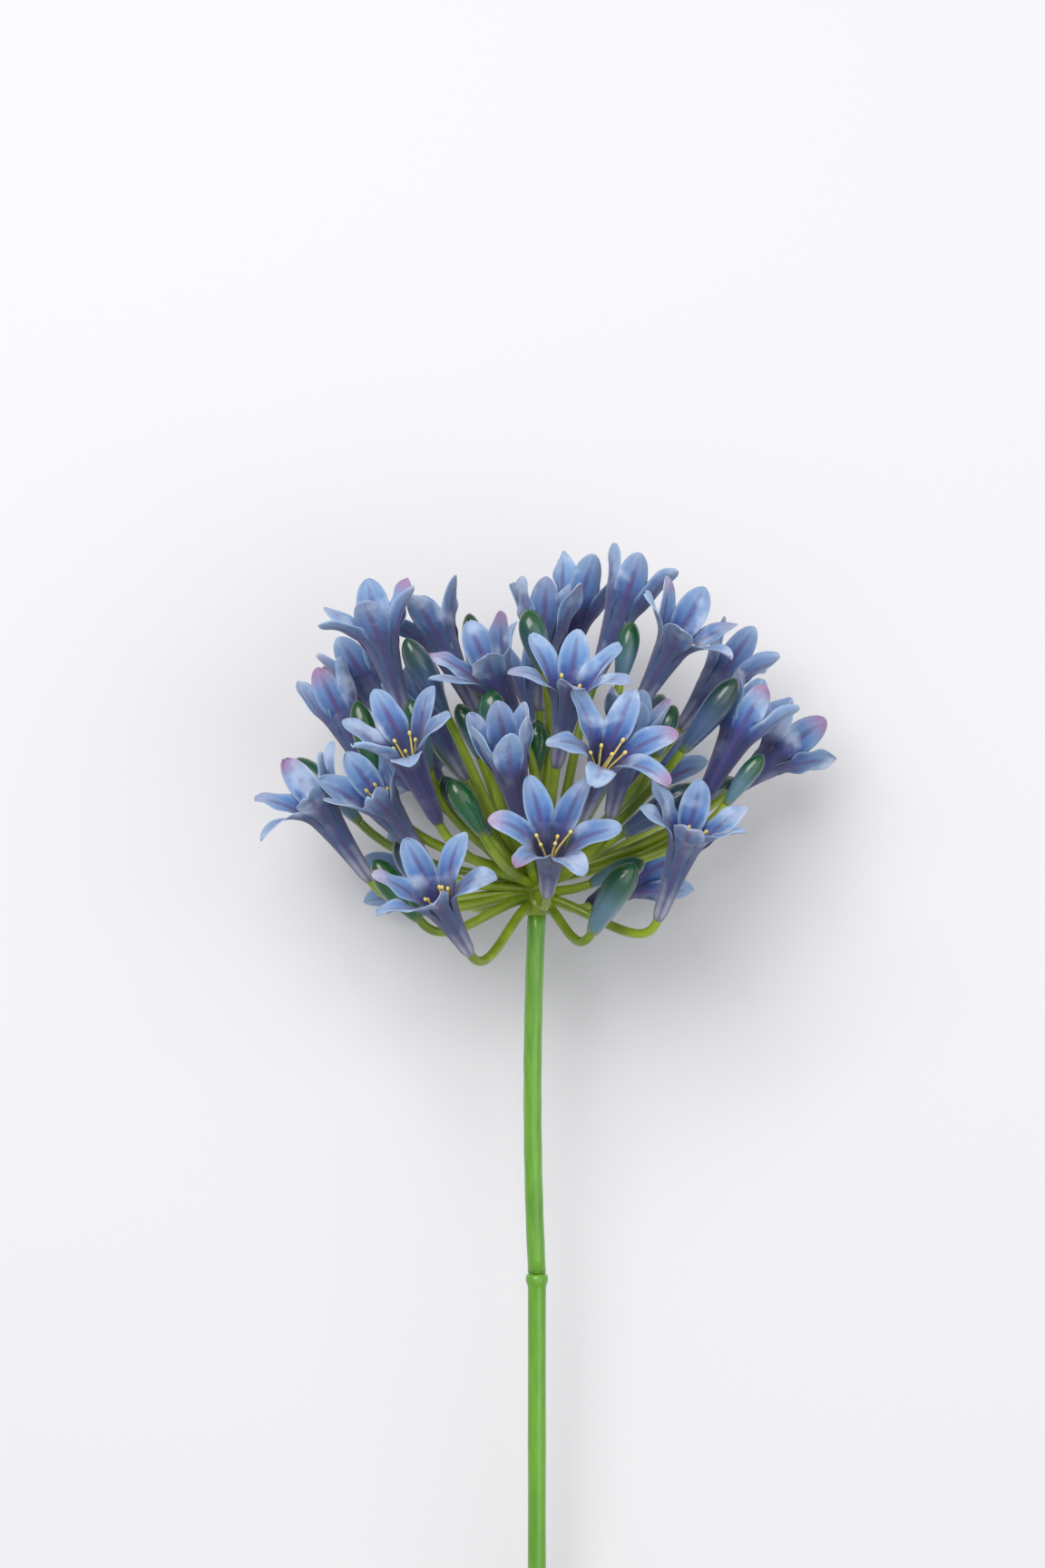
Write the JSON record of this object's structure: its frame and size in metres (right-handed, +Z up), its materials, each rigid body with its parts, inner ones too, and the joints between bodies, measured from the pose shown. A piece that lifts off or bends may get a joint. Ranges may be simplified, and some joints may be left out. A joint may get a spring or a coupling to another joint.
{
  "type": "artificial agapanthus flower stem",
  "caption": "Artificial blue agapanthus: an umbel of pressed fabric florets and glossy buds on a cut plastic stem, lying down.",
  "frame": {"origin": "centre of the bounding box on the surface that the flower lies on", "axes": "+Y along the stem towards the flower head, +Z up from the surface"},
  "size_m": [0.1884, 0.5024, 0.1325],
  "materials": {
    "stem_plastic": "gloss",
    "hub_plastic": "gloss",
    "bud_plastic": "gloss",
    "petal_fabric": "printed woven",
    "stamen_plastic": "satin"
  },
  "bodies": {
    "root": {"stem_upper": "stem_plastic", "stem_lower": "stem_plastic", "hub_and_pedicels": "hub_plastic", "floret_01": "petal_fabric", "floret_02": "petal_fabric", "floret_03": "petal_fabric", "floret_04": "petal_fabric", "floret_05": "petal_fabric", "floret_06": "petal_fabric", "floret_07": "petal_fabric", "floret_08": "petal_fabric", "floret_09": "petal_fabric", "floret_10": "petal_fabric", "floret_11": "petal_fabric", "floret_12": "petal_fabric", "floret_13": "petal_fabric", "floret_14": "petal_fabric", "floret_15": "petal_fabric", "floret_16": "petal_fabric", "floret_17": "petal_fabric", "floret_18": "petal_fabric", "floret_19": "petal_fabric", "floret_20": "petal_fabric", "floret_21": "petal_fabric", "floret_22": "petal_fabric", "floret_23": "petal_fabric", "floret_24": "petal_fabric", "floret_25": "petal_fabric", "floret_26": "petal_fabric", "floret_27": "petal_fabric", "floret_28": "petal_fabric", "bud_01": "bud_plastic", "bud_02": "bud_plastic", "bud_03": "bud_plastic", "bud_04": "bud_plastic", "bud_05": "bud_plastic", "bud_06": "bud_plastic", "bud_07": "bud_plastic", "bud_08": "bud_plastic", "bud_09": "bud_plastic", "bud_10": "bud_plastic", "bud_11": "bud_plastic", "bud_12": "bud_plastic", "bud_13": "bud_plastic", "bud_14": "bud_plastic", "bud_15": "bud_plastic", "bud_16": "bud_plastic", "bud_17": "bud_plastic", "bud_18": "bud_plastic", "bud_19": "bud_plastic", "bud_20": "bud_plastic", "bud_21": "bud_plastic", "bud_22": "bud_plastic", "bud_23": "bud_plastic", "bud_24": "bud_plastic", "bud_25": "bud_plastic"}
  },
  "joints": []
}
